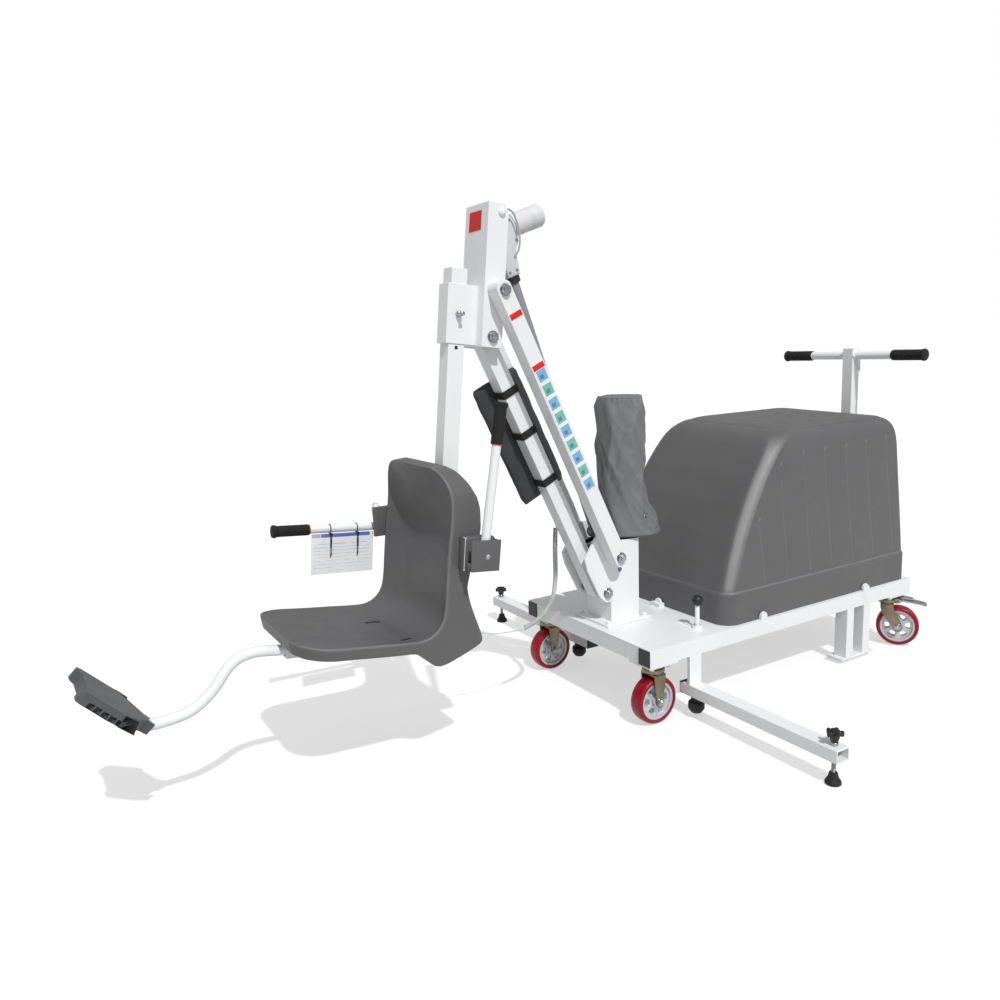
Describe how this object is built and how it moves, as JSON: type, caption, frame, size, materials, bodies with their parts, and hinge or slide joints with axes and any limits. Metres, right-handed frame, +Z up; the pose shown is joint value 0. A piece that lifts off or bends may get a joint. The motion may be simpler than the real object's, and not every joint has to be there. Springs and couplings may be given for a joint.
{
  "type": "pool patient lift",
  "caption": "Poolside transfer lift: a ballasted cart on casters, a twin parallel-arm crane with an electric actuator, and a moulded seat with folding armrests and a footrest.",
  "frame": {"origin": "middle of the footprint on the floor, with the curly cord and the motor cable left out", "axes": "+X from the seat towards the push handle at the rear of the cart, +Y across to the far side, +Z up"},
  "size_m": [2.9056, 1.756, 1.6012],
  "materials": {
    "white": "satin powder coat",
    "black": "satin moulded plastic",
    "rubber": "matte moulded rubber",
    "zinc": "zinc and yellow passivated steel",
    "silver": "machined cast aluminium",
    "red_tread": "satin polyurethane tread",
    "grey_shell": "fine textured moulded shell",
    "iron": "painted cast iron plate stack",
    "fastener": "plain stainless steel",
    "bag_fabric": "plain woven fabric",
    "sleeve_fabric": "coated woven fabric",
    "grip": "soft foam rubber grip",
    "card": "thin white sheet",
    "footboard_plastic": "textured moulded plastic",
    "actuator_silver": "silver grey satin enamel",
    "cable": "matte cable jacket",
    "cord": "pale elastic cord jacket"
  },
  "bodies": {
    "base": {"cart_frame": "white", "deck_plate": "white", "rail_cap_near": "black", "rail_cap_far": "black", "stabiliser_beam_near": "white", "stabiliser_beam_far": "white", "inner_foot_near": "rubber", "inner_foot_far": "rubber", "caster_fork_front_near": "zinc", "caster_fork_front_far": "zinc", "base_bracket": "white", "base_pin_upper": "fastener", "base_pin_lower": "fastener", "control_box": "black", "battery_pack": "black", "console_sleeve": "sleeve_fabric", "ballast_block": "iron"},
    "cover": {"ballast_cover": "grey_shell"},
    "push_handle": {"push_handle": "white"},
    "lever": {"deck_lever": "black"},
    "screw_near": {"screw_foot_near": "rubber"},
    "knob_near": {"screw_knob_near": "black"},
    "screw_far": {"screw_foot_far": "rubber"},
    "knob_far": {"screw_knob_far": "black"},
    "upper_arms": {"upper_arm_near": "white", "upper_arm_far": "white"},
    "lower_arm": {"lower_arm": "white", "arm_bag": "bag_fabric", "cord_gland": "black"},
    "head": {"head_channel": "white", "head_pin_upper": "fastener", "head_pin_lower": "fastener", "actuator_pin": "fastener"},
    "lock_pin": {"mast_lock_pin": "black"},
    "actuator": {"actuator_body": "actuator_silver", "motor_cable": "cable"},
    "rod": {"actuator_rod": "fastener"},
    "seat": {"seat_mast": "white", "seat_shell": "grey_shell", "hand_cord": "cord", "cord_plug": "black"},
    "armrest_near": {"armrest_near": "white", "armrest_grip_near": "grip"},
    "armrest_far": {"armrest_far": "white", "armrest_grip_far": "grip", "armrest_card": "card"},
    "footrest": {"footrest_tube": "white", "footboard": "footboard_plastic"},
    "wheel_front_near": {"wheel_hub_front_near": "silver", "wheel_tread_front_near": "red_tread"},
    "wheel_front_far": {"wheel_hub_front_far": "silver", "wheel_tread_front_far": "red_tread"},
    "fork_rear_near": {"caster_fork_rear_near": "zinc"},
    "wheel_rear_near": {"wheel_hub_rear_near": "silver", "wheel_tread_rear_near": "red_tread"},
    "pedal_rear_near": {"brake_pedal_rear_near": "zinc"},
    "fork_rear_far": {"caster_fork_rear_far": "zinc"},
    "wheel_rear_far": {"wheel_hub_rear_far": "silver", "wheel_tread_rear_far": "red_tread"},
    "pedal_rear_far": {"brake_pedal_rear_far": "zinc"}
  },
  "joints": [
    {"name": "lift", "type": "hinge", "parent": "base", "child": "upper_arms", "pos_m": [0.13533, 0, 0.497], "axis": [0, -1, 0], "range_deg": [-8, 65]},
    {"name": "lower_arm_swing", "type": "hinge", "parent": "base", "child": "lower_arm", "pos_m": [0.12033, 0, 0.369], "axis": [0, -1, 0], "range_deg": [-8, 65]},
    {"name": "head_level", "type": "hinge", "parent": "lower_arm", "child": "head", "pos_m": [-0.28574, 0, 1.209], "axis": [0, -1, 0], "range_deg": [-65, 8]},
    {"name": "actuator_swing", "type": "hinge", "parent": "head", "child": "actuator", "pos_m": [-0.24078, 0, 1.55506], "axis": [0, -1, 0], "range_deg": [-7.5, 60.5]},
    {"name": "actuator_stroke", "type": "slide", "parent": "actuator", "child": "rod", "axis": [0.3437, 0, -0.9391], "range_m": [-0.148, 0.0185]},
    {"name": "mast_height", "type": "slide", "parent": "head", "child": "seat", "axis": [0.1045, 0, 0.9945], "range_m": [-0.04, 0.0944]},
    {"name": "lock_pin_pull", "type": "slide", "parent": "head", "child": "lock_pin", "axis": [0, -1, 0], "range_m": [0, 0.015], "stiffness_N_per_m": 40},
    {"name": "armrest_near_fold", "type": "hinge", "parent": "seat", "child": "armrest_near", "pos_m": [-0.45467, -0.261, 0.628], "axis": [0, 1, 0], "range_deg": [-96, 0]},
    {"name": "armrest_far_fold", "type": "hinge", "parent": "seat", "child": "armrest_far", "pos_m": [-0.45467, 0.261, 0.628], "axis": [0, 1, 0], "range_deg": [0, 95]},
    {"name": "footrest_slide", "type": "slide", "parent": "seat", "child": "footrest", "axis": [-0.9955, 0, 0.0947], "range_m": [-0.012, 0.1]},
    {"name": "cover_lift", "type": "slide", "parent": "base", "child": "cover", "axis": [0, 0, 1], "range_m": [0, 0.65]},
    {"name": "handle_lift", "type": "slide", "parent": "base", "child": "push_handle", "axis": [0, 0, 1], "range_m": [0, 0.13]},
    {"name": "lever_tilt", "type": "hinge", "parent": "base", "child": "lever", "pos_m": [0.33033, -0.264, 0.2659], "axis": [0, 1, 0], "range_deg": [-25, 25]},
    {"name": "screw_rise_near", "type": "slide", "parent": "base", "child": "screw_near", "axis": [0, 0, 1], "range_m": [0, 0.0106]},
    {"name": "knob_turn_near", "type": "hinge", "parent": "screw_near", "child": "knob_near", "pos_m": [0.25633, -0.85, 0.1], "axis": [0, 0, 1], "range_deg": [0, 2160]},
    {"name": "screw_rise_far", "type": "slide", "parent": "base", "child": "screw_far", "axis": [0, 0, 1], "range_m": [0, 0.0106]},
    {"name": "knob_turn_far", "type": "hinge", "parent": "screw_far", "child": "knob_far", "pos_m": [0.25633, 0.85, 0.1], "axis": [0, 0, 1], "range_deg": [0, 2160]},
    {"name": "wheel_spin_front_near", "type": "hinge", "parent": "base", "child": "wheel_front_near", "pos_m": [0.12333, -0.285, 0.0762], "axis": [0, 1, 0], "continuous": true},
    {"name": "wheel_spin_front_far", "type": "hinge", "parent": "base", "child": "wheel_front_far", "pos_m": [0.12333, 0.285, 0.0762], "axis": [0, 1, 0], "continuous": true},
    {"name": "caster_swivel_rear_near", "type": "hinge", "parent": "base", "child": "fork_rear_near", "pos_m": [1.31033, -0.285, 0.18], "axis": [0, 0, 1], "continuous": true},
    {"name": "wheel_spin_rear_near", "type": "hinge", "parent": "fork_rear_near", "child": "wheel_rear_near", "pos_m": [1.33241, -0.31835, 0.0762], "axis": [0.8339, 0.5519, 0], "continuous": true},
    {"name": "pedal_press_rear_near", "type": "hinge", "parent": "fork_rear_near", "child": "pedal_rear_near", "pos_m": [1.33572, -0.32336, 0.1757], "axis": [0.8339, 0.5519, 0], "range_deg": [0, 20]},
    {"name": "caster_swivel_rear_far", "type": "hinge", "parent": "base", "child": "fork_rear_far", "pos_m": [1.31033, 0.285, 0.18], "axis": [0, 0, 1], "continuous": true},
    {"name": "wheel_spin_rear_far", "type": "hinge", "parent": "fork_rear_far", "child": "wheel_rear_far", "pos_m": [1.34097, 0.31071, 0.0762], "axis": [-0.6428, 0.766, 0], "continuous": true},
    {"name": "pedal_press_rear_far", "type": "hinge", "parent": "fork_rear_far", "child": "pedal_rear_far", "pos_m": [1.34557, 0.31457, 0.1757], "axis": [-0.6428, 0.766, 0], "range_deg": [0, 20]}
  ],
  "couplings": [
    {"joint": "lower_arm_swing", "follows": "lift", "ratio": 1},
    {"joint": "head_level", "follows": "lift", "ratio": -1},
    {"joint": "actuator_swing", "follows": "lift", "ratio": 0.9296},
    {"joint": "actuator_stroke", "follows": "lift", "m_per_rad": -0.12993},
    {"joint": "screw_rise_near", "follows": "knob_turn_near", "m_per_rad": 0.0002785},
    {"joint": "screw_rise_far", "follows": "knob_turn_far", "m_per_rad": 0.0002785}
  ]
}
